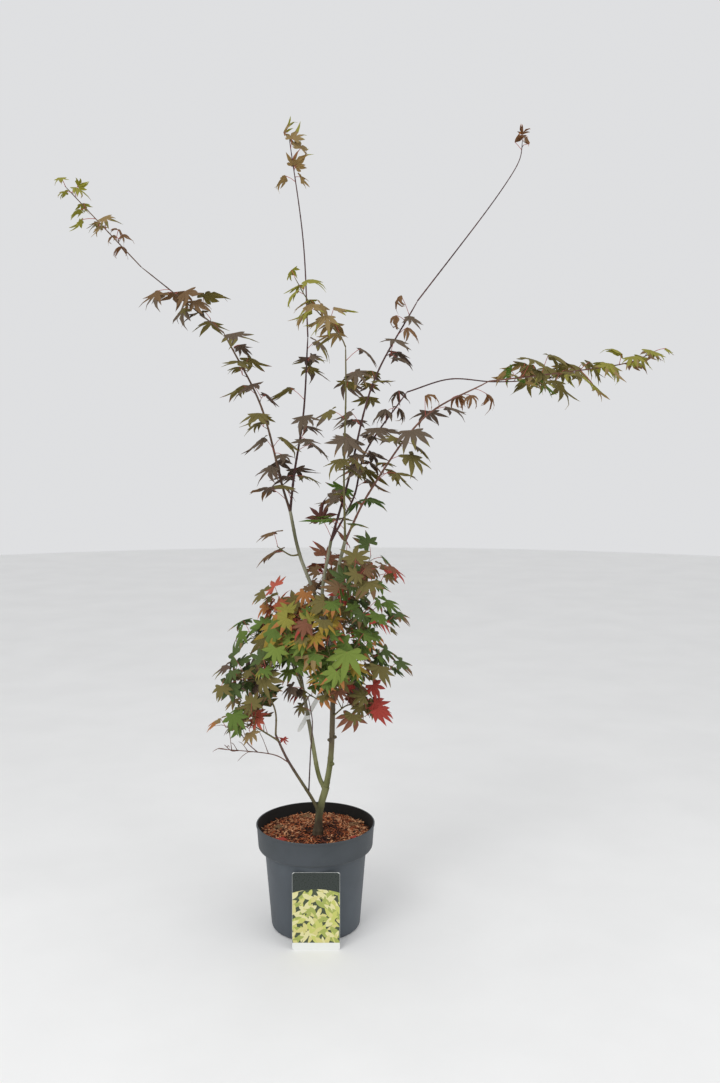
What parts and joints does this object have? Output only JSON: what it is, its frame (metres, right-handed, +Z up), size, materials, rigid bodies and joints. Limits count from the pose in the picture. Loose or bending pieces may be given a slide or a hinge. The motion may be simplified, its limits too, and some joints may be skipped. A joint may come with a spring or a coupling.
{
  "type": "potted japanese maple",
  "caption": "Young deciduous maple in a round nursery pot, with upright stems, long thin whips and a leafy autumn-tinted lower crown above bark-topped soil.",
  "frame": {"origin": "centre of the pot's flat underside", "axes": "+Z up along the pot's axis; +Y to the back, away from the picture label; +X to the side that the long right whip reaches"},
  "size_m": [1.42, 0.5487, 2.083],
  "materials": {
    "pot_plastic": "dull moulded plastic, slate grey",
    "potting_mix": "loose damp bark chips, orange brown",
    "picture_card": "thin printed card with a leaf pattern",
    "plain_tag": "bare white slip tag",
    "bark": "smooth grey-green bark, streaked",
    "foliage": "thin matt leaves on slender twigs, green to bronze and red"
  },
  "bodies": {
    "root": {"pot": "pot_plastic", "soil": "potting_mix", "label": "picture_card", "stem_tag": "plain_tag", "trunk": "bark", "main_stem": "bark", "left_stem": "bark", "low_left_bough": "bark", "right_leader": "bark", "middle_leader": "bark", "left_leader": "bark", "left_whip_lower": "foliage", "left_whip_middle": "foliage", "left_whip_upper": "foliage", "centre_whip_lower": "foliage", "centre_whip_upper": "foliage", "tall_whip_lower": "foliage", "tall_whip_upper": "foliage", "arching_shoot_lower": "foliage", "arching_shoot_upper": "foliage", "hooked_shoot_lower": "foliage", "hooked_shoot_tip": "foliage", "right_whip_lower": "foliage", "right_whip_upper": "foliage", "low_left_spray": "foliage", "low_left_top": "foliage", "bare_left_twigs": "foliage", "inner_whip": "foliage", "left_spray": "foliage", "left_front_spray": "foliage", "left_top_spray": "foliage", "left_back_spray": "foliage", "low_front_spray": "foliage", "right_low_spray": "foliage", "right_spray": "foliage", "right_high_spray": "foliage", "front_spray": "foliage", "front_high_spray": "foliage", "back_low_spray": "foliage", "back_high_spray": "foliage", "top_right_spray": "foliage", "top_left_spray": "foliage", "top_back_spray": "foliage"}
  },
  "joints": []
}
